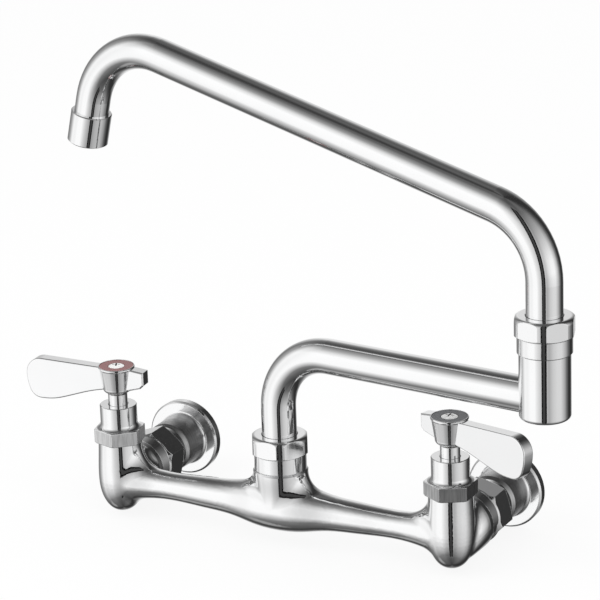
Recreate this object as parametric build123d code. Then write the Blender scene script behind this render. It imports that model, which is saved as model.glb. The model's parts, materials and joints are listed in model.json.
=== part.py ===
from build123d import *
import os
from math import cos, radians, sin, sqrt

# Commercial wall faucet with a double-jointed swing spout.
# Frame: X runs along the wall, +Y points into the wall, +Z is up.
# The origin is on the wall plane, midway between the two inlets.

# ---- driving dimensions (mm, degrees) ----
INLET_SPACING = 203.2          # 8 in between the two inlets
AXIS_Y = -73.0                 # valve and tower axes in front of the wall
VALVE_X = INLET_SPACING / 2

# wall flanges and couplings (turned about a line along Y at each inlet)
FLANGE_R = 21.8
FLANGE_THICK = 5.2
FLANGE_RIM = 1.0
HUB_R_WALL = 14.7
HUB_R_FRONT = 14.2
HUB_BLEND_R = 1.3
HUB_FRONT_Y = -22.0
HUB_CHAMFER_Y = -24.5
INLET_THREAD_R = 9.15          # 1/2 in pipe thread, tapping size
INLET_THREAD_DEPTH = 16.0
WATERWAY_R = 7.0
COUPLING_R = 13.1              # male thread of the flange spigot
COUPLING_GAP = 0.1
SPIGOT_END_Y = -35.0
GASKET_THICK = 2.0
NUT_HEX_FLATS = 30.0
NUT_REAR_Y = -30.5
NUT_HEX_FRONT_Y = -44.5
NUT_FRONT_Y = -52.5
NUT_SHOULDER_Y = -43.0
NUT_CONE_R = 14.4
NUT_PHASE = {"left": 20.0, "right": 44.6}
TAIL_R = 11.0
RING_GROOVE_R = 10.2
RING_R = 12.9
RING_THICK = 1.8
PORT_R = 16.4
PORT_END_Y = -54.2
PORT_ROUND = 1.2
# rings of the rear branch: y, z, radius
PORT_HEEL = [(-73.0, -5.6, 11.6), (-68.0, -2.9, 14.1), (-63.0, -0.9, 15.7), (-58.5, 0.0, PORT_R)]

# valve barrels of the casting
BARREL_TOP_Z = 22.7
BARREL_TOP_R = 12.1
BARREL_SIDE = [(12.9, 4.0), (12.1, -6.0), (9.5, -13.0)]    # radius, z
BARREL_BOTTOM_Z = -18.9
BARREL_BORE_R = 9.6
BARREL_THREAD_R = 10.4
BARREL_LEDGE_Z = 13.4
SEAT_Z = -4.0
SEAT_HOLE_R = 4.0
DUCT_R = 3.5
DUCT_Z = -9.5
DUCT_FLOOR_Z = -12.0
DUCT_TOP_Z = -5.0
DUCT_Y = -59.5
WATERWAY_END_Y = -60.0

# cross tube and tower of the casting
BELLY_R = 14.0
BELLY_SIDE = (13.0, 13.1)      # distance from the tower, radius
TUBE_MID = (28.0, 10.2)
TUBE_WAIST = (47.0, 8.7)
TUBE_THIN = (68.0, 7.8)
TUBE_FLARE = [(VALVE_X, 11.6), (91.0, 10.4), (83.0, 9.0), (75.0, 8.05)]
TUBE_FLARE_SLOPE = 0.08
CROSS_BORE_R = 5.0
CROSS_BORE_Z = 1.5
TOWER_TOP_Z = 21.8
TOWER_TOP_R = 15.0
TOWER_SIDE = [(13.9, 6.0), (13.1, -4.5), (9.5, -10.2)]     # radius, z
TOWER_BOTTOM_Z = -13.95
TOWER_BLEND_R = 12.0
PORT_BLEND_R = 8.0
TUBE_BLEND_R = 14.0

# swing joint, the same at the tower and at the outer end of the lower spout
TUBE_OD = 19.05                # 3/4 in tube
TUBE_WALL = 1.25
SKIRT_R = 14.25
SKIRT_H = 9.1
SPOUT_NUT_FLATS = 29.7
SPOUT_NUT_R = 15.95             # turned corners
SPOUT_NUT_TOP = 19.7
SPOUT_NUT_ROUND = 2.6
SPOUT_NUT_PHASE = {"lower": 59.1, "upper": 54.5}
SPOUT_NUT_BORE_R = 12.45
TUBE_CLEARANCE = 0.33
SPIGOT_R = 12.4
SPIGOT_TOP = 12.0              # above the skirt's lower edge
JOINT_BORE_R = 10.6
RUNNING = 0.05
COLLAR_BOTTOM = -11.0
COLLAR_FLANGE_R = 11.9
COLLAR_FLANGE_H = 2.4
GLIDE_THICK = 1.1
AXIAL_GAP = 0.08
TUBE_SEAT = -2.0               # tube end inside the collar
ORING_LEVELS = (-8.2, -4.4)
ORING_WIRE = 1.8
ORING_SQUEEZE = 0.92           # share of the wire left once it is pressed

# spouts
ARM_Z = 91.1
LOWER_BEND_R = 34.0
LOWER_REACH = 164.6
LOWER_ANGLE = -6.3             # plan angle from +X, photographed pose
SWIVEL_R = 13.35
SWIVEL_ROUND = 2.2
SWIVEL_BOTTOM_Z = 80.8
SWIVEL_TOP_Z = 115.7
SWIVEL_FLOOR = 3.0
SWIVEL_CHAMBER_R = 9.3
UPPER_BEND_Z = 152.6
UPPER_BEND_R = 37.2
RISE_ANGLE = 13.9
UPPER_ARM = 217.0
END_BEND_R = 39.0
END_BEND_ANGLE = 90.5
END_STRAIGHT = 8.1
UPPER_ANGLE = 172.2            # plan angle from +X, photographed pose

# outlet
OUTLET_R = 11.25
OUTLET_LEN = 17.8
OUTLET_SOCKET = 4.5
OUTLET_BORE_R = 9.95
WASHER_THICK = 1.4
INSERT_LEN = 8.0
SCREEN_THICK = 0.7

# valve trim
BONNET_HEX_FLATS = 24.9
BONNET_HEX_TOP_Z = 30.6
BONNET_TOP_Z = 44.0
BONNET_R = 10.3
BONNET_COVE_R = 3.0
BONNET_COVE_END_R = 12.3        # just inside the flats
BONNET_HOLE_R = 5.6
BONNET_CAVITY_R = 8.3
BONNET_PHASE = {"hot": 43.3, "cold": 29.8}
CART_LOW_R = 9.4
CART_WAIST_R = 8.5
CART_UP_R = 8.0
SLEEVE_R = 5.35
SLEEVE_TOP_Z = 50.6
SHELL_TOP_Z = 40.0
CHAMBER_R = 7.6
CHAMBER_TOP_Z = 10.0
DISC_R = 7.3
FIXED_DISC_Z = (0.2, 3.2)
MOVING_DISC_Z = (3.25, 6.0)
DISC_PORT_HALF = 38.0
DRIVER_Z = (6.0, 8.6)
DRIVER_R = 5.8
STEM_R = 4.0
STEM_GROOVE_R = 3.1
STEM_SQUARE = 5.8
STEM_COLLAR_R = 4.7
STEM_KEY = (11.0, 2.4, 1.2)    # bar that drives the moving disc
STOP_R = 6.1                   # inside of the stop ring in the shell
STEM_TOP_Z = 60.0
STEM_ORING_Z = (28.0, 33.0)
CLIP_Z = (50.75, 51.6)
CLIP_R = 5.0

# lever handle
HUB_BOTTOM_Z = 51.2
HUB_TOP_Z = 66.4
HUB_TOP_R = 10.2
INDEX_R = 9.5
INDEX_DEPTH = 0.9
SCREW_HEAD_R = 4.4
SCREW_SHANK_R = 1.9
SCREW_DOME = 0.7               # rise of the head above the hub
SCREW_SINK = 1.7               # seat of the head below the hub's top
SCREW_CROSS = (4.4, 0.9, 2.4)  # one arm of the cross recess
LEVER_THICK = 7.4
LEVER_ROUND = 0.8
LEVER_ANGLE = {"hot": 186.0, "cold": -17.0}

TUBE_R = TUBE_OD / 2
ARC_MIDDLE = 1 - sin(radians(45))          # where a quarter arc's middle stands, as a share of its radius
half_spindle = TUBE_FLARE + [TUBE_THIN, TUBE_WAIST, TUBE_MID, BELLY_SIDE]
SPINDLE = [(-x, r) for x, r in half_spindle] + [(0, BELLY_R)] + half_spindle[::-1]
TOWER = Pos(0, AXIS_Y, 0)
OVERSHOOT = 1.0
os.makedirs("parts", exist_ok=True)


def turned(*points):
    """Solid of revolution about Z from (radius, height) corners."""
    outline = Polyline(*[(r, 0, z) for r, z in points], close=True)
    return revolve(make_face(outline), Axis.Z)


def ring(outer, inner, z0, z1):
    return turned((inner, z0), (outer, z0), (outer, z1), (inner, z1))


def rod(radius, z0, z1):
    return turned((0, z0), (radius, z0), (radius, z1), (0, z1))


def hex_bar(flats, z0, z1, phase):
    corner = flats / sqrt(3)
    face = Rot(0, 0, phase) * RegularPolygon(corner, 6)
    return extrude(Pos(0, 0, z0) * face, z1 - z0)


def sector(radius, half_angle, z0, z1, direction):
    """Pie-shaped prism about the direction angle."""
    a = radians(half_angle)
    reach = radius / cos(a)
    face = make_face(Polyline((0, 0), (reach * cos(a), -reach * sin(a)),
                              (reach * cos(a), reach * sin(a)), close=True))
    wedge = extrude(Pos(0, 0, z0) * face, z1 - z0)
    return Rot(0, 0, direction) * (wedge & rod(radius, z0, z1))


def along_y(shape, x):
    """Turn a shape made about Z so that its height runs along +Y at an inlet."""
    return Pos(x, 0, 0) * Rot(-90, 0, 0) * shape


def save(name, shape):
    solids = shape.solids()
    export = solids[0] if len(solids) == 1 else Compound(solids)
    export_step(export, f"parts/{name}.step")


def seams(shape, *parts):
    """Edges that appeared where the parts were joined."""
    old = [edge for part in parts for edge in part.edges()]
    fresh = []
    for edge in shape.edges():
        middle = Vertex(*tuple(edge @ 0.5))
        if all(other.distance_to(middle) > 1e-4 for other in old):
            fresh.append(edge)
    return fresh


def blended(first, second, radius):
    """Two parts of a casting with a cast fillet where they meet."""
    both = first + second
    return fillet(seams(both, first, second), radius)


def walk(start, heading, *moves):
    """Path in the XZ plane: a number is a straight run, a pair is a bend (radius, degrees).
    The heading is in degrees from +X towards +Z, and a bend turns from it towards -Z."""
    x, z = start
    pieces = []
    for move in moves:
        if isinstance(move, tuple):
            radius, turn = move
            cx = x + radius * sin(radians(heading))
            cz = z - radius * cos(radians(heading))
            stops = [heading + 90 - turn * share for share in (0, 0.5, 1)]
            points = [(cx + radius * cos(radians(a)), 0, cz + radius * sin(radians(a))) for a in stops]
            pieces.append(ThreePointArc(*points))
            heading -= turn
            x, z = points[-1][0], points[-1][2]
        else:
            end = (x + move * cos(radians(heading)), z + move * sin(radians(heading)))
            pieces.append(Line((x, 0, z), (end[0], 0, end[1])))
            x, z = end
    return pieces, (x, z), heading


def bent_tube(pieces, outer, inner):
    path = Wire(pieces)
    section = Plane(origin=path @ 0, z_dir=path % 0)
    solid = sweep(section * Circle(outer), path=path)
    return solid - sweep(section * Circle(inner), path=path)


# ---- casting ----
def barrel():
    points = [(BARREL_TOP_R, BARREL_TOP_Z), *BARREL_SIDE, (0, BARREL_BOTTOM_Z)]
    side = Spline(*[(r, 0, z) for r, z in points], tangents=((0.02, 0, -1), (-1, 0, 0)))
    outline = [
        Line((0, 0, BARREL_TOP_Z), (BARREL_TOP_R, 0, BARREL_TOP_Z)),
        side,
        Line((0, 0, BARREL_BOTTOM_Z), (0, 0, BARREL_TOP_Z)),
    ]
    return revolve(make_face(outline), Axis.Z)


def port():
    """Rear branch of a barrel: a heel that swells out of its foot, the round rim and the tail."""
    rings = [Plane(origin=(0, y, z), x_dir=(1, 0, 0), z_dir=(0, 1, 0)) * Circle(r) for y, z, r in PORT_HEEL]
    start = PORT_HEEL[-1][0]
    corner = PORT_ROUND * ARC_MIDDLE
    outline = [
        Polyline((0, 0, start), (PORT_R, 0, start), (PORT_R, 0, PORT_END_Y - PORT_ROUND)),
        ThreePointArc((PORT_R, 0, PORT_END_Y - PORT_ROUND),
                      (PORT_R - corner, 0, PORT_END_Y - corner),
                      (PORT_R - PORT_ROUND, 0, PORT_END_Y)),
        Polyline((PORT_R - PORT_ROUND, 0, PORT_END_Y), (TAIL_R, 0, PORT_END_Y),
                 (TAIL_R, 0, SPIGOT_END_Y - GASKET_THICK), (0, 0, SPIGOT_END_Y - GASKET_THICK),
                 (0, 0, start)),
    ]
    return loft(rings) + along_y(revolve(make_face(outline), Axis.Z), 0)


def cross_tube():
    """Spindle-shaped tube between the barrel axes, flared at both ends, turned about X."""
    side = Spline(*[(x, 0, -r) for x, r in SPINDLE],
                  tangents=((1, 0, TUBE_FLARE_SLOPE), (1, 0, -TUBE_FLARE_SLOPE)))
    outline = [
        Line((-VALVE_X, 0, 0), side @ 0),
        side,
        Line(side @ 1, (VALVE_X, 0, 0)),
        Line((VALVE_X, 0, 0), (-VALVE_X, 0, 0)),
    ]
    return revolve(make_face(outline), Axis.X)


def tower():
    """Upright boss that closes inside the belly of the tube."""
    top = TOWER_TOP_Z
    side = Spline((TOWER_TOP_R, 0, top - 0.8), *[(r, 0, z) for r, z in TOWER_SIDE], (0, 0, TOWER_BOTTOM_Z),
                  tangents=((-0.05, 0, -1), (-1, 0, 0)))
    outline = [
        Polyline((0, 0, top), (TOWER_TOP_R - 0.6, 0, top), (TOWER_TOP_R, 0, top - 0.8)),
        side,
        Line((0, 0, TOWER_BOTTOM_Z), (0, 0, top)),
    ]
    return revolve(make_face(outline), Axis.Z)


def valve_cavity():
    """Seat, cartridge bore and bonnet thread of one barrel, with the duct from the inlet."""
    duct = rod(DUCT_R, DUCT_FLOOR_Z, DUCT_TOP_Z)
    cavity = rod(BARREL_BORE_R, SEAT_Z, BARREL_TOP_Z + OVERSHOOT)
    cavity += rod(BARREL_THREAD_R, BARREL_LEDGE_Z, BARREL_TOP_Z + OVERSHOOT)
    cavity += rod(SEAT_HOLE_R, DUCT_Z - DUCT_R - OVERSHOOT, SEAT_Z)
    return Pos(0, AXIS_Y, 0) * cavity + Pos(0, DUCT_Y, 0) * duct


def inlet_cavity():
    """Bore of the tail and the level duct under the seat, made along +Z for along_y."""
    tail_end = SPIGOT_END_Y - GASKET_THICK
    cavity = rod(WATERWAY_R, WATERWAY_END_Y, tail_end + OVERSHOOT)
    level = Pos(0, -DUCT_Z, 0) * rod(DUCT_R, AXIS_Y, DUCT_Y + OVERSHOOT)
    groove = ring(TAIL_R + OVERSHOOT, RING_GROOVE_R, NUT_SHOULDER_Y, NUT_SHOULDER_Y + RING_THICK)
    return cavity + level + groove


def joint_bore(top):
    """Bore of a swing joint whose nut skirt starts at the height top."""
    return rod(JOINT_BORE_R, top + COLLAR_BOTTOM - 0.8, top + SPIGOT_TOP + OVERSHOOT)


def faucet_body():
    casting = blended(TOWER * cross_tube(), TOWER * tower(), TOWER_BLEND_R)
    right = [Pos(VALVE_X, AXIS_Y, 0) * barrel(), Pos(VALVE_X, 0, 0) * port()]
    left = [mirror(part, about=Plane.YZ) for part in right]
    for upright, rear in (left, right):
        casting = blended(casting, upright, TUBE_BLEND_R)
        casting = blended(casting, rear, PORT_BLEND_R)
    casting += TOWER * rod(SPIGOT_R, TOWER_TOP_Z - OVERSHOOT, TOWER_TOP_Z + SPIGOT_TOP)
    for x in (-VALVE_X, VALVE_X):
        casting -= Pos(x, 0, 0) * valve_cavity()
        casting -= along_y(inlet_cavity(), x)
    cross_bore = Rot(0, 90, 0) * rod(CROSS_BORE_R, -VALVE_X, VALVE_X)
    casting -= Pos(0, AXIS_Y, CROSS_BORE_Z) * cross_bore
    casting -= TOWER * (joint_bore(TOWER_TOP_Z) + rod(WATERWAY_R, 0, TOWER_TOP_Z))
    return casting


# ---- wall couplings, height running towards the wall ----
def inlet_flange():
    """Wall disc, hub and threaded spigot with the female pipe inlet."""
    face = -FLANGE_THICK
    low = face - HUB_BLEND_R
    inner = HUB_BLEND_R * ARC_MIDDLE
    outline = [
        Polyline((0, 0, 0), (0, 0, SPIGOT_END_Y), (COUPLING_R, 0, SPIGOT_END_Y),
                 (COUPLING_R, 0, HUB_CHAMFER_Y), (HUB_R_FRONT, 0, HUB_FRONT_Y), (HUB_R_WALL, 0, low)),
        ThreePointArc((HUB_R_WALL, 0, low), (HUB_R_WALL + inner, 0, face - inner),
                      (HUB_R_WALL + HUB_BLEND_R, 0, face)),
        Polyline((HUB_R_WALL + HUB_BLEND_R, 0, face), (FLANGE_R - FLANGE_RIM, 0, face),
                 (FLANGE_R, 0, face + FLANGE_RIM), (FLANGE_R, 0, 0), (0, 0, 0)),
    ]
    outer = revolve(make_face(outline), Axis.Z)
    inlet = rod(INLET_THREAD_R, -INLET_THREAD_DEPTH, OVERSHOOT)
    return outer - inlet - rod(WATERWAY_R, SPIGOT_END_Y - OVERSHOOT, 0)


def coupling_nut(phase):
    """Captive nut: turned cone towards the body, hexagon towards the wall."""
    corner = NUT_HEX_FLATS / sqrt(3)
    flat = NUT_HEX_FLATS / 2
    limits = turned(
        (0, NUT_FRONT_Y), (NUT_CONE_R, NUT_FRONT_Y), (flat + 0.2, NUT_HEX_FRONT_Y - 1.6),
        (corner, NUT_HEX_FRONT_Y), (corner, NUT_REAR_Y - 1.1), (flat + 0.3, NUT_REAR_Y), (0, NUT_REAR_Y))
    shoulder = rod(corner, NUT_FRONT_Y, NUT_HEX_FRONT_Y - 1.0)
    outer = (hex_bar(NUT_HEX_FLATS, NUT_HEX_FRONT_Y - 1.6, NUT_REAR_Y, phase) + shoulder) & limits
    bore = rod(TAIL_R + 0.2, NUT_FRONT_Y - OVERSHOOT, NUT_SHOULDER_Y)
    bore += rod(COUPLING_R + COUPLING_GAP, NUT_SHOULDER_Y, NUT_REAR_Y + OVERSHOOT)
    return outer - bore


def coupling_ring():
    """Split ring in the groove of the tail that keeps the nut captive."""
    whole = ring(RING_R, RING_GROOVE_R, NUT_SHOULDER_Y, NUT_SHOULDER_Y + RING_THICK)
    slit = Pos(RING_R, 0, NUT_SHOULDER_Y) * Box(2 * TAIL_R, 2.5, 4 * RING_THICK)
    return whole - slit


def inlet_gasket():
    return ring(COUPLING_R - 0.4, WATERWAY_R + 0.3, SPIGOT_END_Y - GASKET_THICK, SPIGOT_END_Y)


# ---- swing joints, heights measured from the lower edge of the nut's skirt ----
COLLAR_FLANGE_Z = SPIGOT_TOP + GLIDE_THICK + AXIAL_GAP
TOP_GLIDE_Z = COLLAR_FLANGE_Z + COLLAR_FLANGE_H + AXIAL_GAP
CEILING_Z = TOP_GLIDE_Z + GLIDE_THICK


def spout_nut(phase):
    """Turned nut with six milled flats, a rounded shoulder and a plain skirt."""
    top, low, soft = SPOUT_NUT_TOP, SKIRT_H, SPOUT_NUT_ROUND
    bend = soft * ARC_MIDDLE
    outline = [
        Polyline((0, 0, top), (0, 0, low), (SKIRT_R, 0, low), (SPOUT_NUT_R, 0, low + 1.0),
                 (SPOUT_NUT_R, 0, top - soft)),
        ThreePointArc((SPOUT_NUT_R, 0, top - soft), (SPOUT_NUT_R - bend, 0, top - bend),
                      (SPOUT_NUT_R - soft, 0, top)),
        Line((SPOUT_NUT_R - soft, 0, top), (0, 0, top)),
    ]
    outer = hex_bar(SPOUT_NUT_FLATS, low, top, phase) & revolve(make_face(outline), Axis.Z)
    outer += turned((0, 0), (SKIRT_R - 0.5, 0), (SKIRT_R, 0.5), (SKIRT_R, low), (0, low))
    bore = rod(SPOUT_NUT_BORE_R, -OVERSHOOT, CEILING_Z)
    bore += rod(TUBE_R + TUBE_CLEARANCE, 0, top + OVERSHOOT)
    return outer - bore


def glide_rings():
    """Plain bearing rings below and above the collar's flange."""
    low = ring(SPIGOT_R - 0.2, JOINT_BORE_R + 0.1, SPIGOT_TOP, SPIGOT_TOP + GLIDE_THICK)
    high = ring(SPIGOT_R - 0.2, TUBE_R + TUBE_CLEARANCE, TOP_GLIDE_Z, CEILING_Z)
    return Compound([low.solid(), high.solid()])


def spout_collar():
    """Machined end piece brazed on a spout tube: O-ring journal below, flange above."""
    journal = JOINT_BORE_R - RUNNING
    top = COLLAR_FLANGE_Z + COLLAR_FLANGE_H
    outer = turned(
        (0, COLLAR_BOTTOM), (journal - 0.6, COLLAR_BOTTOM), (journal, COLLAR_BOTTOM + 0.6),
        (journal, COLLAR_FLANGE_Z), (COLLAR_FLANGE_R, COLLAR_FLANGE_Z), (COLLAR_FLANGE_R, top), (0, top))
    for level in ORING_LEVELS:
        half = ORING_WIRE / 2 + 0.15
        outer -= ring(journal + OVERSHOOT, journal - ORING_SQUEEZE * ORING_WIRE, level - half, level + half)
    bore = rod(TUBE_R - TUBE_WALL, COLLAR_BOTTOM - OVERSHOOT, TUBE_SEAT)
    socket = rod(TUBE_R, TUBE_SEAT, top + OVERSHOOT)
    return outer - bore - socket


def spout_orings():
    """O-rings squeezed to the depth of their grooves."""
    depth = ORING_SQUEEZE * ORING_WIRE
    middle = JOINT_BORE_R - RUNNING - depth / 2
    return Compound([(Pos(0, 0, level) * Torus(middle, depth / 2)).solid() for level in ORING_LEVELS])


# ---- spouts, made in the XZ plane about their own turning axis ----
def lower_spout_tube():
    riser = ARM_Z - LOWER_BEND_R - (TOWER_TOP_Z + TUBE_SEAT)
    run = LOWER_REACH - LOWER_BEND_R - SWIVEL_R / 2
    pieces, _, _ = walk((0, TOWER_TOP_Z + TUBE_SEAT), 90, riser, (LOWER_BEND_R, 90), run)
    tube = bent_tube(pieces, TUBE_R, TUBE_R - TUBE_WALL)
    return tube - Pos(LOWER_REACH, 0, 0) * rod(SWIVEL_R, SWIVEL_BOTTOM_Z, SWIVEL_TOP_Z)


def swivel_housing():
    """Upright barrel on the end of the lower spout that carries the upper spout."""
    low, top = SWIVEL_BOTTOM_Z, SWIVEL_TOP_Z
    corner = SWIVEL_ROUND * ARC_MIDDLE
    outline = [
        Line((0, 0, low), (SWIVEL_R - SWIVEL_ROUND, 0, low)),
        ThreePointArc((SWIVEL_R - SWIVEL_ROUND, 0, low), (SWIVEL_R - corner, 0, low + corner),
                      (SWIVEL_R, 0, low + SWIVEL_ROUND)),
        Polyline((SWIVEL_R, 0, low + SWIVEL_ROUND), (SWIVEL_R, 0, top), (SPIGOT_R, 0, top),
                 (SPIGOT_R, 0, top + SPIGOT_TOP), (0, 0, top + SPIGOT_TOP), (0, 0, low)),
    ]
    housing = revolve(make_face(outline), Axis.Z)
    housing -= joint_bore(top) + rod(SWIVEL_CHAMBER_R, low + SWIVEL_FLOOR, top)
    side_hole = Rot(0, -90, 0) * rod(TUBE_R - TUBE_WALL, 0, SWIVEL_R + OVERSHOOT)
    return Pos(LOWER_REACH, 0, 0) * (housing - Pos(0, 0, ARM_Z) * side_hole)


def upper_route():
    return walk((0, SWIVEL_TOP_Z + TUBE_SEAT), 90, UPPER_BEND_Z - SWIVEL_TOP_Z - TUBE_SEAT,
                (UPPER_BEND_R, 90 - RISE_ANGLE), UPPER_ARM, (END_BEND_R, END_BEND_ANGLE),
                END_STRAIGHT + OUTLET_SOCKET)


def upper_spout_tube():
    pieces, _, _ = upper_route()
    return bent_tube(pieces, TUBE_R, TUBE_R - TUBE_WALL)


def at_outlet(shape):
    """Place a shape made from the outlet's top face downwards, along its slanted axis."""
    _, (x, z), heading = upper_route()
    way = Vector(cos(radians(heading)), 0, sin(radians(heading)))
    top = Vector(x, 0, z) - way * OUTLET_SOCKET
    return Plane(origin=top, x_dir=(0, 1, 0), z_dir=way).location * shape


def outlet_housing():
    outer = turned((0, 0), (OUTLET_R - 0.5, 0), (OUTLET_R, 0.5), (OUTLET_R, OUTLET_LEN - 0.6),
                   (OUTLET_R - 0.6, OUTLET_LEN), (0, OUTLET_LEN))
    bore = rod(OUTLET_BORE_R, OUTLET_SOCKET, OUTLET_LEN + OVERSHOOT)
    return outer - rod(TUBE_R, -OVERSHOOT, OUTLET_SOCKET) - bore


INSERT_Z = OUTLET_SOCKET + WASHER_THICK
INSERT_R = OUTLET_BORE_R - RUNNING
INSERT_WALL = 1.5


def outlet_washer():
    return ring(INSERT_R, TUBE_R - TUBE_WALL - 0.5, OUTLET_SOCKET, INSERT_Z)


def holes(radius, z0, z1, rings_of_holes):
    """Pattern of round holes: pairs of (circle radius, count)."""
    drill = rod(radius, z0, z1)
    return [Rot(0, 0, 360 / count * k) * Pos(circle, 0, 0) * drill
            for circle, count in rings_of_holes for k in range(count)]


def aerator_insert():
    """Cup with a drilled plate on top and a spoked guard below."""
    end = INSERT_Z + INSERT_LEN
    cup = rod(INSERT_R, INSERT_Z, end) - rod(INSERT_R - INSERT_WALL, INSERT_Z + 1.6, end + OVERSHOOT)
    spoke = Pos(0, 0, end - 0.8) * Box(2 * INSERT_R - INSERT_WALL, 1.0, 1.6)
    for turn in (0, 60, 120):
        cup += Rot(0, 0, turn) * spoke
    for hole in holes(0.7, INSERT_Z - OVERSHOOT, INSERT_Z + 2, [(2.4, 6), (4.8, 12)]):
        cup -= hole
    return cup


def aerator_screen():
    start = INSERT_Z + INSERT_LEN
    screen = rod(INSERT_R, start, start + SCREEN_THICK)
    for hole in holes(0.75, start - OVERSHOOT, start + 2, [(2.2, 6), (4.4, 12), (6.6, 18)]):
        screen -= hole
    return screen


def place_lower(shape):
    return TOWER * Rot(0, 0, LOWER_ANGLE) * shape


def place_upper(shape):
    a = radians(LOWER_ANGLE)
    return Pos(LOWER_REACH * cos(a), AXIS_Y + LOWER_REACH * sin(a), 0) * Rot(0, 0, UPPER_ANGLE) * shape


# ---- valve trim, made about Z at the origin of its barrel ----
SPIGOT_LOW_Z = BARREL_LEDGE_Z + 0.8
LUG_HALF = 28.0
TRAVEL = 90.0
LUG_CLEARANCE = 3.0


def bonnet(phase):
    """Hexagon with a coved round neck, hollow for the cartridge."""
    corner = BONNET_HEX_FLATS / sqrt(3)
    base, cove = BONNET_HEX_TOP_Z, BONNET_COVE_R
    centre_r, centre_z = BONNET_R + cove, base + cove
    end_z = centre_z - sqrt(cove**2 - (centre_r - BONNET_COVE_END_R)**2)
    limits = turned((0, BARREL_TOP_Z), (corner - 0.6, BARREL_TOP_Z), (corner, BARREL_TOP_Z + 0.6),
                    (corner, base - 0.2), (corner - 0.2, base), (0, base))
    hexagon = hex_bar(BONNET_HEX_FLATS, BARREL_TOP_Z, base, phase) & limits
    neck = revolve(make_face([
        Polyline((0, 0, base), (BONNET_COVE_END_R, 0, base), (BONNET_COVE_END_R, 0, end_z)),
        ThreePointArc((BONNET_COVE_END_R, 0, end_z),
                      (centre_r - cove * sin(radians(60)), 0, centre_z - cove * cos(radians(60))),
                      (BONNET_R, 0, centre_z)),
        Polyline((BONNET_R, 0, centre_z), (BONNET_R, 0, BONNET_TOP_Z - 0.4),
                 (BONNET_R - 0.4, 0, BONNET_TOP_Z), (0, 0, BONNET_TOP_Z), (0, 0, base)),
    ]), Axis.Z)
    spigot = rod(BARREL_THREAD_R - RUNNING, SPIGOT_LOW_Z, BARREL_TOP_Z)
    cavity = rod(BONNET_CAVITY_R, SPIGOT_LOW_Z - OVERSHOOT, SHELL_TOP_Z)
    return hexagon + neck + spigot - cavity - rod(BONNET_HOLE_R, SHELL_TOP_Z, BONNET_TOP_Z + OVERSHOOT)


def bonnet_gasket():
    return ring(BARREL_THREAD_R - RUNNING, BARREL_BORE_R, BARREL_LEDGE_Z, SPIGOT_LOW_Z)


def cartridge_shell(turn):
    """Fixed brass shell of the cartridge; turn is +1 or -1 for the opening sense."""
    outer = turned(
        (0, SEAT_Z), (CART_LOW_R, SEAT_Z), (CART_LOW_R, 1.0), (CART_WAIST_R, 1.6),
        (CART_WAIST_R, BARREL_LEDGE_Z - 1.4), (CART_LOW_R, BARREL_LEDGE_Z - 0.8), (CART_LOW_R, SPIGOT_LOW_Z),
        (CART_UP_R, SPIGOT_LOW_Z), (CART_UP_R, SHELL_TOP_Z), (SLEEVE_R, SHELL_TOP_Z),
        (SLEEVE_R, SLEEVE_TOP_Z - 0.4), (SLEEVE_R - 0.4, SLEEVE_TOP_Z), (0, SLEEVE_TOP_Z))
    low, high = DRIVER_Z
    stop = ring(CHAMBER_R, STOP_R, low + 0.2, CHAMBER_TOP_Z)
    free_half = LUG_HALF + TRAVEL / 2 + LUG_CLEARANCE
    stop -= sector(CHAMBER_R + OVERSHOOT, free_half, low, CHAMBER_TOP_Z, turn * TRAVEL / 2)
    shell = outer - (rod(CHAMBER_R, SEAT_Z - OVERSHOOT, CHAMBER_TOP_Z) - stop)
    window = Pos(0, 0, (low + high) / 2 + 0.4) * Box(6.0, 4 * CHAMBER_R, 2.6)
    return shell - window - rod(STEM_R + RUNNING, CHAMBER_TOP_Z - OVERSHOOT, SLEEVE_TOP_Z + OVERSHOOT)


def seat_seal():
    return ring(CHAMBER_R - 0.2, SEAT_HOLE_R + 0.6, SEAT_Z, FIXED_DISC_Z[0])


def ceramic_disc(z0, z1, direction):
    """Polished disc with two pie-shaped ports."""
    disc = rod(DISC_R, z0, z1)
    for side in (0, 180):
        port_shape = sector(DISC_R - 1.2, DISC_PORT_HALF, z0 - OVERSHOOT, z1 + OVERSHOOT, direction + side)
        disc -= port_shape - rod(2.0, z0 - OVERSHOOT, z1 + OVERSHOOT)
    return disc


def moving_disc():
    """Closed at rest: its ports lie across those of the fixed disc."""
    z0, z1 = MOVING_DISC_Z
    slot = Pos(0, 0, z1) * Box(11.2, 2.6, 2.2)
    return ceramic_disc(z0, z1, 90) - slot


def stem(lever_angle):
    """Spindle with driver bar and stop lug; its square is set to the lever."""
    low, high = DRIVER_Z
    square = Box(STEM_SQUARE, STEM_SQUARE, STEM_TOP_Z - CLIP_Z[1])
    shaft = rod(STEM_R, low, CLIP_Z[1])
    shaft += Rot(0, 0, lever_angle) * Pos(0, 0, (CLIP_Z[1] + STEM_TOP_Z) / 2) * square
    shaft += rod(STEM_COLLAR_R, low + 0.05, high)
    shaft += sector(DISC_R - 0.1, LUG_HALF, low + 0.05, high, 0)
    shaft += sector(DRIVER_R, LUG_HALF, low + 0.05, high, 180)
    shaft += Pos(0, 0, low - 0.4) * Box(*STEM_KEY)
    shaft -= ring(STEM_R + OVERSHOOT, STEM_GROOVE_R + 0.3, *CLIP_Z)
    for level in STEM_ORING_Z:
        shaft -= ring(STEM_R + OVERSHOOT, STEM_GROOVE_R, level - 0.6, level + 0.6)
    return shaft - rod(SCREW_SHANK_R + RUNNING, CLIP_Z[1], STEM_TOP_Z + OVERSHOOT)


def thrust_washer():
    return ring(DRIVER_R, STEM_R + 0.15, DRIVER_Z[1] + AXIAL_GAP, CHAMBER_TOP_Z)


def stem_orings():
    wire = (STEM_R - STEM_GROOVE_R) / 2
    return Compound([(Pos(0, 0, level) * Torus(STEM_R - wire, wire)).solid() for level in STEM_ORING_Z])


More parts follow.
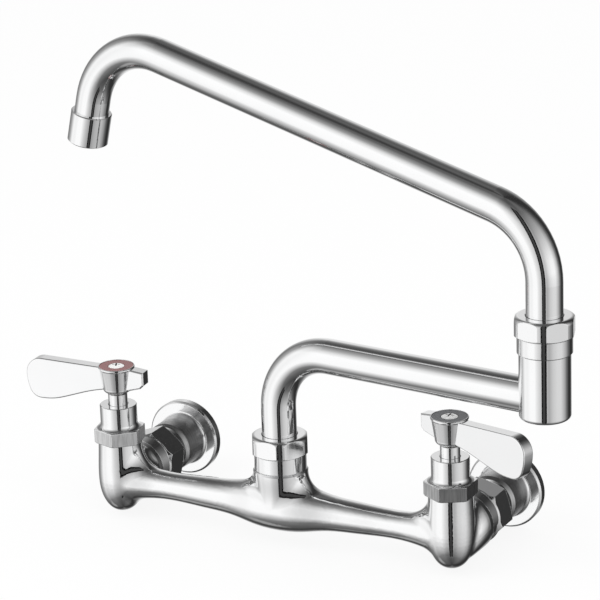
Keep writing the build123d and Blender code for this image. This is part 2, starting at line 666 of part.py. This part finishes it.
def stem_clip():
    low, high = CLIP_Z
    gap = Pos(CLIP_R, 0, low) * Box(2 * CLIP_R, 3.2, 4 * (high - low))
    return ring(CLIP_R, STEM_GROOVE_R + 0.3, low, high) - gap


# ---- lever handle, lever pointing along +X ----
def lever_blade():
    top = HUB_TOP_Z - 1.1
    lower_edge = Spline((45.9, 0, 43.6), (37.8, 0, 44.0), (28.4, 0, 46.5), (18.9, 0, 49.6), (4.0, 0, 53.1),
                        tangents=((-1, 0, -0.045), (-1, 0, 0.19)))
    outline = [
        Line((4.0, 0, 53.1), (4.0, 0, top)),
        Line((4.0, 0, top), (44.9, 0, 67.1)),
        ThreePointArc((44.9, 0, 67.1), (51.5, 0, 64.4), (54.2, 0, 57.8)),
        ThreePointArc((54.2, 0, 57.8), (53.8, 0, 53.3), (52.7, 0, 49.1)),
        ThreePointArc((52.7, 0, 49.1), (50.3, 0, 45.3), (45.9, 0, 43.6)),
        lower_edge,
    ]
    plate = extrude(make_face(outline), LEVER_THICK / 2, both=True)
    faces = plate.faces().sort_by(Axis.Y)
    return fillet(faces[0].edges() + faces[-1].edges(), LEVER_ROUND)


def lever_stub():
    outline = Polyline((-4.0, 0, 53.0), (-6.0, 0, 52.6), (-15.6, 0, 55.2), (-17.6, 0, 57.2), (-17.6, 0, 64.5),
                       (-9.0, 0, 65.7), (-4.0, 0, 65.7), close=True)
    plate = extrude(make_face(outline), LEVER_THICK / 2, both=True)
    faces = plate.faces().sort_by(Axis.Y)
    return chamfer(faces[0].edges() + faces[-1].edges(), 0.7)


def lever_handle():
    z0, z1 = HUB_BOTTOM_Z, HUB_TOP_Z
    hub = revolve(make_face([
        Line((0, 0, z0), (6.0, 0, z0)),
        ThreePointArc((6.0, 0, z0), (7.4, 0, z0 + 0.9), (8.0, 0, z0 + 2.6)),
        Polyline((8.0, 0, z0 + 2.6), (HUB_TOP_R - 0.4, 0, z1 - 1.6), (HUB_TOP_R, 0, z1 - 1.0),
                 (HUB_TOP_R, 0, z1 - 0.4), (HUB_TOP_R - 0.3, 0, z1), (0, 0, z1), (0, 0, z0)),
    ]), Axis.Z)
    handle = hub + lever_blade() + lever_stub()
    handle -= rod(HUB_TOP_R + 10, z1, z1 + 5)
    handle -= rod(INDEX_R + 0.1, z1 - INDEX_DEPTH - 0.2, z1 + OVERSHOOT)
    handle -= rod(SCREW_HEAD_R + 0.1, z1 - SCREW_SINK, z1)
    handle -= rod(SCREW_SHANK_R + 0.2, STEM_TOP_Z, z1)
    handle -= rod(CLIP_R + 0.4, z0 - OVERSHOOT, z0 + 1.2)
    socket = STEM_SQUARE + 0.1
    handle -= Pos(0, 0, (z0 + STEM_TOP_Z) / 2 + 0.1) * Box(socket, socket, STEM_TOP_Z - z0)
    return handle


def index_ring():
    base = HUB_TOP_Z - INDEX_DEPTH - 0.2
    return ring(INDEX_R, SCREW_HEAD_R + 0.3, base, base + INDEX_DEPTH)


def handle_screw():
    """Screw with a domed, cross-recessed head."""
    base = HUB_TOP_Z - SCREW_SINK
    rim = HUB_TOP_Z - 0.3
    top = HUB_TOP_Z + SCREW_DOME
    head = revolve(make_face([
        Polyline((0, 0, top), (0, 0, base), (SCREW_HEAD_R, 0, base), (SCREW_HEAD_R, 0, rim)),
        ThreePointArc((SCREW_HEAD_R, 0, rim), (0.62 * SCREW_HEAD_R, 0, rim + 0.7 * (top - rim)), (0, 0, top)),
    ]), Axis.Z)
    screw = head + rod(SCREW_SHANK_R, 52.5, base)
    for turn in (0, 90):
        screw -= Rot(0, 0, turn + 20) * Pos(0, 0, top) * Box(*SCREW_CROSS)
    return screw


# ---- write the pieces ----
def valve_pieces(side):
    x = -VALVE_X if side == "hot" else VALVE_X
    turn = 1 if side == "hot" else -1
    spot = Pos(x, AXIS_Y, 0)
    lever = spot * Rot(0, 0, LEVER_ANGLE[side])
    return {
        "bonnet": spot * bonnet(BONNET_PHASE[side]),
        "bonnet_gasket": spot * bonnet_gasket(),
        "cartridge_shell": spot * cartridge_shell(turn),
        "seat_seal": spot * seat_seal(),
        "fixed_disc": spot * ceramic_disc(*FIXED_DISC_Z, 0),
        "thrust_washer": spot * thrust_washer(),
        "moving_disc": spot * moving_disc(),
        "stem": spot * stem(LEVER_ANGLE[side]),
        "stem_orings": spot * stem_orings(),
        "stem_clip": spot * stem_clip(),
        "lever": lever * lever_handle(),
        "index_ring": lever * index_ring(),
        "lever_screw": lever * handle_screw(),
    }


save("faucet_body", faucet_body())
for side, x in (("left", -VALVE_X), ("right", VALVE_X)):
    save(f"inlet_flange_{side}", along_y(inlet_flange(), x))
    save(f"coupling_nut_{side}", along_y(coupling_nut(-NUT_PHASE[side]), x))
    save(f"coupling_ring_{side}", along_y(coupling_ring(), x))
    save(f"inlet_gasket_{side}", along_y(inlet_gasket(), x))
for side in ("hot", "cold"):
    for name, piece in valve_pieces(side).items():
        save(f"{side}_{name}", piece)

base_joint = TOWER * Pos(0, 0, TOWER_TOP_Z)
save("lower_spout_nut", base_joint * spout_nut(SPOUT_NUT_PHASE["lower"]))
save("lower_glide_rings", base_joint * glide_rings())
save("lower_spout_collar", base_joint * spout_collar())
save("lower_spout_orings", base_joint * spout_orings())
save("lower_spout_tube", place_lower(lower_spout_tube()))
save("swivel_housing", place_lower(swivel_housing()))
swivel_joint = Pos(LOWER_REACH, 0, SWIVEL_TOP_Z)
save("upper_spout_nut", place_lower(swivel_joint * spout_nut(SPOUT_NUT_PHASE["upper"])))
save("upper_glide_rings", place_lower(swivel_joint * glide_rings()))
save("upper_spout_collar", place_lower(swivel_joint * spout_collar()))
save("upper_spout_orings", place_lower(swivel_joint * spout_orings()))
save("upper_spout_tube", place_upper(upper_spout_tube()))
save("outlet_housing", place_upper(at_outlet(outlet_housing())))
save("outlet_washer", place_upper(at_outlet(outlet_washer())))
save("aerator_insert", place_upper(at_outlet(aerator_insert())))
save("aerator_screen", place_upper(at_outlet(aerator_screen())))
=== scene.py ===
import json
import math
import bpy
from mathutils import Matrix, Vector


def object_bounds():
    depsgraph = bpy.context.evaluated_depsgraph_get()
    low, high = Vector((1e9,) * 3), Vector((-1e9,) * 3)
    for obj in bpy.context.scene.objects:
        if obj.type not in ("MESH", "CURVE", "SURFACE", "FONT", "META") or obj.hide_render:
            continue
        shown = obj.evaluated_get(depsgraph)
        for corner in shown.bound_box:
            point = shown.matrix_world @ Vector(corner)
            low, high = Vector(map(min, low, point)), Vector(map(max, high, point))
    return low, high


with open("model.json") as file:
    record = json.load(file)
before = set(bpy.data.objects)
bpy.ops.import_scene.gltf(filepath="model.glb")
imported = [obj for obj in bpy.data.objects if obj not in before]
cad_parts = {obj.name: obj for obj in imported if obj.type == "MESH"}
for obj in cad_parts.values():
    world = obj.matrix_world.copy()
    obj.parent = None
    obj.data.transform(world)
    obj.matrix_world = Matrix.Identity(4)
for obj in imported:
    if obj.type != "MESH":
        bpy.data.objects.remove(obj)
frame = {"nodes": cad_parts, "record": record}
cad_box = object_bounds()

NODES = frame["nodes"]
SLOTS = {part["node"]: part["material_slot"] for part in frame["record"]["subparts"]}
AXIS_Y = -0.073                 # valve and tower axes in front of the wall

# ---- camera: solved from the photograph's known spacings, frame of 600 by 600 ----
CAMERA_PLACE = (0.72140, -1.37058, 0.60168)
CAMERA_RIGHT = (0.88279, 0.46871, -0.03148)
CAMERA_UP = (-0.11927, 0.28846, 0.95004)
CAMERA_BACK = (0.45437, -0.83493, 0.31055)
FOCAL_PIXELS = 2940.0
FRAME_PIXELS = 600.0
SENSOR = 36.0
VIEW_DEPTH = 50.0


def add_camera():
    data = bpy.data.cameras.new("camera")
    data.sensor_width = SENSOR
    data.lens = FOCAL_PIXELS / FRAME_PIXELS * SENSOR
    data.clip_end = VIEW_DEPTH
    camera = bpy.data.objects.new("camera", data)
    turn = Matrix((CAMERA_RIGHT, CAMERA_UP, CAMERA_BACK)).transposed().to_4x4()
    camera.matrix_world = Matrix.Translation(CAMERA_PLACE) @ turn
    bpy.context.scene.collection.objects.link(camera)
    bpy.context.scene.camera = camera


# ---- node helpers ----
WHITE = (1.0, 1.0, 1.0, 1.0)


class Shader:
    """The node tree of a material or world, with short calls that add linked nodes."""

    def __init__(self, owner):
        owner.use_nodes = True
        self.tree = owner.node_tree
        self.tree.nodes.clear()

    def add(self, kind, settings=None, **inputs):
        """Add a node; its inputs, named by socket or by i and a number, take values or outputs."""
        node = self.tree.nodes.new(kind)
        for key, value in (settings or {}).items():
            setattr(node, key, value)
        for key, value in inputs.items():
            numbered = key[0] == "i" and key[1:].isdigit()
            socket = node.inputs[int(key[1:])] if numbered else node.inputs[key.replace("_", " ")]
            if isinstance(value, bpy.types.NodeSocket):
                self.tree.links.new(value, socket)
            else:
                socket.default_value = value
        return node

    def math(self, operation, a, b=0.0):
        return self.add("ShaderNodeMath", {"operation": operation}, i0=a, i1=b).outputs[0]

    def layer(self, factor, under, over, blend="MIX"):
        """Lay one colour over another by factor, or multiply them."""
        node = self.add("ShaderNodeMix", {"data_type": "RGBA", "blend_type": blend}, Factor=factor,
                        A=under, B=over)
        return node.outputs["Result"]

    def span(self, value, low, high, out_low=0.0, out_high=1.0):
        """Smooth step of value from low to high."""
        node = self.add("ShaderNodeMapRange", {"interpolation_type": "SMOOTHSTEP"}, Value=value,
                        From_Min=low, From_Max=high, To_Min=out_low, To_Max=out_high)
        return node.outputs[0]

    def ramp(self, value, stops):
        """Piecewise level of value, given as (value, level) stops."""
        low, high = stops[0][0], stops[-1][0]
        share = self.add("ShaderNodeMapRange", Value=value, From_Min=low, From_Max=high)
        node = self.add("ShaderNodeValToRGB", Fac=share.outputs[0])
        points = node.color_ramp.elements
        for at, level in stops:
            place = (at - low) / (high - low)
            point = points[0] if at == low else points[-1] if at == high else points.new(place)
            point.color = (level, level, level, 1.0)
        return node.outputs[0]

    def noise(self, scale, detail, stretch=(1, 1, 1)):
        """Noise in the object's own metres; a stretch below 1 draws it out along that axis."""
        where = self.add("ShaderNodeTexCoord").outputs["Object"]
        mapped = self.add("ShaderNodeMapping", Vector=where, Scale=stretch)
        return self.add("ShaderNodeTexNoise", Vector=mapped.outputs[0], Scale=scale, Detail=detail).outputs[0]


# ---- world: a pale studio whose walls fade towards the sides, the ceiling and the floor ----
LENS_AZIMUTH = -61.4            # degrees from +X; azimuths below are counted from it
# each wall: brightness round the horizon by azimuth, then brightness from straight down to straight up
LEFT_WINDOW = (
    ((-180, 0.0), (-150, 0.15), (-125, 0.36), (-102, 0.94), (-86, 0.91), (-72, 1.0), (-50, 1.0),
     (-44, 0.87), (-30, 0.67), (-6, 0.40), (12, 0.0), (180, 0.0)),
    ((-90, 0.02), (-66, 0.09), (-50, 0.17), (-36, 0.56), (-22, 0.97), (22, 1.0), (38, 0.74), (54, 0.30),
     (72, 0.09), (90, 0.08)))
RIGHT_WINDOW = (
    ((-180, 0.0), (-12, 0.0), (4, 0.38), (30, 0.78), (50, 0.92), (68, 0.92), (90, 0.50), (104, 0.15),
     (120, 0.0), (180, 0.0)),
    ((-90, 0.02), (-60, 0.14), (-45, 0.36), (-30, 0.63), (-18, 0.74), (-4, 1.0), (8, 0.97), (25, 0.68),
     (45, 0.37), (65, 0.13), (90, 0.07)))
BACK_WALL = (
    ((-180, 1.0), (-166, 0.42), (-152, 0.0), (140, 0.0), (160, 0.38), (172, 0.85), (180, 1.0)),
    ((-90, 0.02), (-60, 0.20), (-38, 0.76), (-15, 1.0), (0, 0.83), (22, 0.74), (38, 0.24), (50, 0.08),
     (90, 0.09)))
TABLE_EDGE = (
    ((-180, 0.0), (-134, 0.0), (-120, 1.0), (-104, 1.0), (-92, 0.0), (180, 0.0)),
    ((-90, 0.0), (-72, 0.0), (-64, 0.20), (-54, 0.20), (-47, 0.0), (90, 0.0)))
WALLS = (LEFT_WINDOW, RIGHT_WINDOW, BACK_WALL, TABLE_EDGE)
DIM_LIGHT = 0.03                # least brightness anywhere in the room
SHADE_LIGHT = 0.9               # plain light of the room on matt surfaces


def add_world():
    world = bpy.data.worlds.new("studio")
    bpy.context.scene.world = world
    s = Shader(world)
    where = s.add("ShaderNodeTexCoord").outputs["Generated"]
    turned = s.add("ShaderNodeVectorRotate", {"rotation_type": "Z_AXIS"}, Vector=where,
                   Angle=math.radians(-LENS_AZIMUTH))
    x, y, z = s.add("ShaderNodeSeparateXYZ", Vector=turned.outputs[0]).outputs
    azimuth = s.math("MULTIPLY", s.math("ARCTAN2", y, x), math.degrees(1.0))
    height = s.math("MULTIPLY", s.math("ARCSINE", z), math.degrees(1.0))
    light = DIM_LIGHT
    for around, upwards in WALLS:
        wall = s.math("MULTIPLY", s.ramp(azimuth, around), s.ramp(height, upwards))
        light = s.math("ADD", wall, light)
    # polished surfaces see the walls, matt ones a plain light, and the lens plain white
    rays = s.add("ShaderNodeLightPath").outputs
    shiny = s.add("ShaderNodeBackground", Color=WHITE, Strength=light)
    plain = s.add("ShaderNodeBackground", Color=WHITE, Strength=SHADE_LIGHT)
    seen = s.add("ShaderNodeBackground", Color=WHITE, Strength=1.0)
    lit = s.add("ShaderNodeMixShader", i0=rays["Is Glossy Ray"], i1=plain.outputs[0], i2=shiny.outputs[0])
    clear = s.math("MAXIMUM", rays["Is Camera Ray"], rays["Is Transmission Ray"])
    last = s.add("ShaderNodeMixShader", i0=clear, i1=lit.outputs[0], i2=seen.outputs[0])
    s.add("ShaderNodeOutputWorld", Surface=last.outputs[0])


def add_sheet(name, corners, material):
    """A flat four-cornered piece of the studio."""
    mesh = bpy.data.meshes.new(name)
    mesh.from_pydata(corners, [], [(0, 1, 2, 3)])
    mesh.materials.append(material)
    sheet = bpy.data.objects.new(name, mesh)
    bpy.context.scene.collection.objects.link(sheet)
    return sheet


# ---- dark slot in the front of the studio, which polished metal shows as a double line ----
SLOT_AWAY = 1.3
SLOT_TURN = -63.4               # degrees from +X
SLOT_STRIPS = ((-0.25, -0.13, 0.003), (-0.13, 0.10, 0.05), (0.10, 0.24, 0.003))    # left, right, brightness
SLOT_LOW, SLOT_HIGH = -1.8, 2.45


def add_slot():
    turn = math.radians(SLOT_TURN)
    middle = Vector((SLOT_AWAY * math.cos(turn), AXIS_Y + SLOT_AWAY * math.sin(turn), 0.0))
    across = Vector((-math.sin(turn), math.cos(turn), 0.0))
    for number, (left, right, level) in enumerate(SLOT_STRIPS):
        name = f"slot_{number}"
        material = bpy.data.materials.new(name)
        s = Shader(material)
        s.add("ShaderNodeOutputMaterial", Surface=s.add("ShaderNodeEmission", Strength=level).outputs[0])
        outline = ((left, SLOT_LOW), (right, SLOT_LOW), (right, SLOT_HIGH), (left, SLOT_HIGH))
        strip = add_sheet(name, [middle + across * u + Vector((0, 0, z)) for u, z in outline], material)
        strip.visible_camera = strip.visible_diffuse = False
        strip.visible_shadow = strip.visible_transmission = False


# ---- floor and lamps ----
FLOOR_GAP = 0.0005
FLOOR_Z = cad_box[0][2] - FLOOR_GAP
FLOOR_HALF = 6.0
FLOOR_PAINT = (0.88, 0.88, 0.88, 1.0)
FLOOR_GLOW = 0.88               # share of plain white that the lens sees; the rest keeps the shadow


def add_floor():
    material = bpy.data.materials.new("floor_white")
    s = Shader(material)
    rays = s.add("ShaderNodeLightPath").outputs
    matt = s.add("ShaderNodeBsdfDiffuse", Color=FLOOR_PAINT)
    white = s.add("ShaderNodeEmission", Color=WHITE, Strength=1.0)
    seen = s.math("MAXIMUM", rays["Is Camera Ray"], rays["Is Transmission Ray"])
    both = s.add("ShaderNodeMixShader", i0=s.math("MULTIPLY", seen, FLOOR_GLOW), i1=matt.outputs[0],
                 i2=white.outputs[0])
    s.add("ShaderNodeOutputMaterial", Surface=both.outputs[0])
    outline = ((-1, -1), (1, -1), (1, 1), (-1, 1))
    floor = add_sheet("floor", [(FLOOR_HALF * x, FLOOR_HALF * y, FLOOR_Z) for x, y in outline], material)
    floor.visible_glossy = False


# place, aim, size and power of each lamp
LAMPS = {
    "key_lamp": ((-0.9, -1.6, 1.8), (0.0, -0.1, 0.1), (1.6, 1.2), 16.0),
    "fill_lamp": ((1.5, -0.9, 1.4), (0.1, -0.1, 0.1), (1.4, 1.4), 8.0),
}


def add_lamp(name, place, aim, size, power):
    data = bpy.data.lights.new(name, "AREA")
    data.shape = "RECTANGLE"
    data.size, data.size_y = size
    data.energy = power
    lamp = bpy.data.objects.new(name, data)
    lamp.location = place
    lamp.rotation_euler = (Vector(aim) - Vector(place)).to_track_quat("-Z", "Y").to_euler()
    lamp.visible_glossy = False
    bpy.context.scene.collection.objects.link(lamp)


# ---- finishes: lengths in metres; each noise has its scale per metre, its detail and its stretch ----
PATCH_NOISE = (55.0, 4.0)       # handling marks
PATCH_PAINT_SPAN, PATCH_ROUGH_SPAN = (0.3, 0.7), (0.25, 0.75)
HAIRLINE_NOISE = (900.0, 2.0, (1.0, 1.0, 0.03))
HAIRLINE_SPAN = (0.62, 0.7)
WAVE_NOISE = (38.0, 1.0)        # slow waves of the polish
GRAIN_DETAIL = 3.0
BRUSH_NOISE = (1100.0, 2.0)
BRUSH_SPAN = (0.3, 0.7)
BRUSH_ROUGH = 0.2               # how much duller a brushed stretch is
BRUSH_EDGE = 0.0002
# painted shade in recesses: ambient occlusion from closed to open, and the colour's multiplier from dark to
# full
RECESS_SHADE_OPEN, RECESS_SHADE_LEVELS = (0.5, 0.92), (0.06, 1.0)
RAY_SAMPLES = 6                 # for worn edges and the painted shade in recesses


def finish_of(name, color, metallic, rough, rough_spread, bump, bump_scale, grain=(1, 1, 1), scratch=0.0,
              tint=0.02, wave=0.0, brushed_and_shaded=None, edge=0.0, painted_recess_shade=0.0):
    material = bpy.data.materials.new(name)
    s = Shader(material)
    patch = s.noise(*PATCH_NOISE)
    # colour drifts a little between patches
    darker = (*[c * (1.0 - tint) for c in color], 1.0)
    paint = s.layer(s.span(patch, *PATCH_PAINT_SPAN), darker, (*color, 1.0))
    # painted shade: recesses narrower than its reach are darkened in the colour by ambient occlusion
    if painted_recess_shade:
        open_share = s.add("ShaderNodeAmbientOcclusion", {"samples": RAY_SAMPLES, "only_local": True},
                           Distance=painted_recess_shade).outputs["AO"]
        paint = s.layer(1.0, paint, s.span(open_share, *RECESS_SHADE_OPEN, *RECESS_SHADE_LEVELS), "MULTIPLY")
    # roughness: broad handling marks and hairline scratches
    dullness = s.span(patch, *PATCH_ROUGH_SPAN, rough, rough + rough_spread)
    if scratch:
        dullness = s.math("ADD", dullness, s.span(s.noise(*HAIRLINE_NOISE), *HAIRLINE_SPAN, 0.0, scratch))
    # a brushed stretch (number of its axis, low, high, range of its shade) is duller and streaked; its shade
    # range also paints light and shade into the colour
    if brushed_and_shaded:
        axis, low, high, shades = brushed_and_shaded
        where = s.add("ShaderNodeTexCoord").outputs["Object"]
        place = s.add("ShaderNodeSeparateXYZ", Vector=where).outputs[axis]
        inside = s.math("MULTIPLY", s.span(place, low - BRUSH_EDGE, low + BRUSH_EDGE),
                        s.span(place, high - BRUSH_EDGE, high + BRUSH_EDGE, 1.0, 0.0))
        streaks_and_shade = s.span(s.noise(*BRUSH_NOISE, grain), *BRUSH_SPAN, *shades)
        paint = s.layer(inside, paint, streaks_and_shade, "MULTIPLY")
        dullness = s.math("ADD", dullness, s.math("MULTIPLY", inside, BRUSH_ROUGH))
    surface = s.add("ShaderNodeBsdfPrincipled", Metallic=metallic, Base_Color=paint, Roughness=dullness)
    # relief, from coarse to fine: worn edges, slow waves of the polish, grain
    normal = None
    if edge:
        normal = s.add("ShaderNodeBevel", {"samples": RAY_SAMPLES}, Radius=edge).outputs[0]
    reliefs = [(wave, WAVE_NOISE)] if wave else []
    for depth, noise in (*reliefs, (bump, (bump_scale, GRAIN_DETAIL, grain))):
        relief = s.add("ShaderNodeBump", Strength=1.0, Distance=depth, Height=s.noise(*noise))
        if normal:
            s.tree.links.new(normal, relief.inputs["Normal"])
        normal = relief.outputs[0]
    s.tree.links.new(normal, surface.inputs["Normal"])
    s.add("ShaderNodeOutputMaterial", Surface=surface.outputs[0])
    return material


HEXAGON = (2, 0.0227, 0.0303)   # flats of the bonnets, between two heights along Z
HUB = (1, -0.0245, -0.0068)     # turned hubs of the wall flanges, along Y
# shade ranges multiplied into the brushed stretches: real streaks plus painted light; the hot bonnet is
# lighter as if lit, the cold one darker as painted shade
LIT_BONNET_STREAKS, HUB_STREAKS_AND_SHADE, SHADED_BONNET_STREAKS = (0.60, 0.80), (0.46, 0.58), (0.42, 0.60)
CHROME = dict(color=(0.965, 0.967, 0.97), metallic=1.0, tint=0.015)
NUT = dict(CHROME, rough=0.07, rough_spread=0.03, bump=0.000003, bump_scale=1500.0, grain=(1, 1, 0.08),
           scratch=0.03, edge=0.0005)
FINISHES = {
    "chrome_casting": dict(CHROME, rough=0.05, rough_spread=0.03, wave=0.00012, bump=0.000002,
                           bump_scale=2500.0, scratch=0.02),
    "chrome_tube": dict(CHROME, rough=0.045, rough_spread=0.02, bump=0.000001, bump_scale=2500.0,
                        scratch=0.02),
    "chrome_nut": NUT,
    # lit and shaded copies of one bonnet finish: painted light on the hot bonnet, painted shade on the cold
    # one
    "hot_bonnet": dict(NUT, brushed_and_shaded=(*HEXAGON, LIT_BONNET_STREAKS)),
    "cold_bonnet": dict(NUT, brushed_and_shaded=(*HEXAGON, SHADED_BONNET_STREAKS)),
    # the screw's cross recess gets a painted shade from ambient occlusion
    "screw": dict(color=(0.98, 0.98, 0.97), metallic=0.15, rough=0.24, rough_spread=0.08, bump=0.000002,
                  bump_scale=1800.0, painted_recess_shade=0.0012),
    "chrome_lever": dict(CHROME, rough=0.07, rough_spread=0.03, wave=0.00006, bump=0.000001,
                         bump_scale=2500.0, scratch=0.02, edge=0.0004),
    # the hub's streaks are darkened further as a painted dark reflection
    "chrome_flange": dict(CHROME, rough=0.07, rough_spread=0.04, bump=0.0000015, bump_scale=1500.0,
                          grain=(0.08, 1, 0.08), scratch=0.03, brushed_and_shaded=(*HUB, HUB_STREAKS_AND_SHADE), edge=0.0005),
    "chrome_sleeve": dict(CHROME, rough=0.06, rough_spread=0.03, bump=0.000002, bump_scale=2000.0,
                          grain=(0.1, 0.1, 1), scratch=0.02),
    "stainless": dict(color=(0.72, 0.72, 0.71), metallic=1.0, rough=0.22, rough_spread=0.1, bump=0.000006,
                      bump_scale=1800.0, grain=(1, 1, 0.1), scratch=0.05),
    "brass": dict(color=(0.78, 0.62, 0.32), metallic=1.0, rough=0.2, rough_spread=0.1, bump=0.000006,
                  bump_scale=1500.0, grain=(0.1, 0.1, 1), scratch=0.05, tint=0.06),
    "ceramic": dict(color=(0.86, 0.85, 0.82), metallic=0.0, rough=0.12, rough_spread=0.05, bump=0.000002,
                    bump_scale=400.0, tint=0.04),
    "acetal": dict(color=(0.84, 0.84, 0.82), metallic=0.0, rough=0.35, rough_spread=0.1, bump=0.00001,
                   bump_scale=900.0),
    "seal_rubber": dict(color=(0.045, 0.045, 0.045), metallic=0.0, rough=0.5, rough_spread=0.15,
                        bump=0.00001, bump_scale=1200.0, tint=0.2),
    "index_red": dict(color=(0.29, 0.105, 0.105), metallic=0.0, rough=0.2, rough_spread=0.1,
                      bump=0.000008, bump_scale=1600.0, tint=0.25),
    "index_grey": dict(color=(0.10, 0.104, 0.112), metallic=0.0, rough=0.24, rough_spread=0.12,
                       bump=0.000008, bump_scale=1600.0, tint=0.25),
}

bpy.context.scene.view_settings.view_transform = "Standard"
add_camera()
add_world()
add_slot()
add_floor()
for lamp_name, values in LAMPS.items():
    add_lamp(lamp_name, *values)

finishes = {name: finish_of(name, **values) for name, values in FINISHES.items()}
for name, node in NODES.items():
    own = "screw" if name.endswith("lever_screw") else name
    finish = own if own in finishes else SLOTS[name]
    node.data.materials.clear()
    node.data.materials.append(finishes[finish])
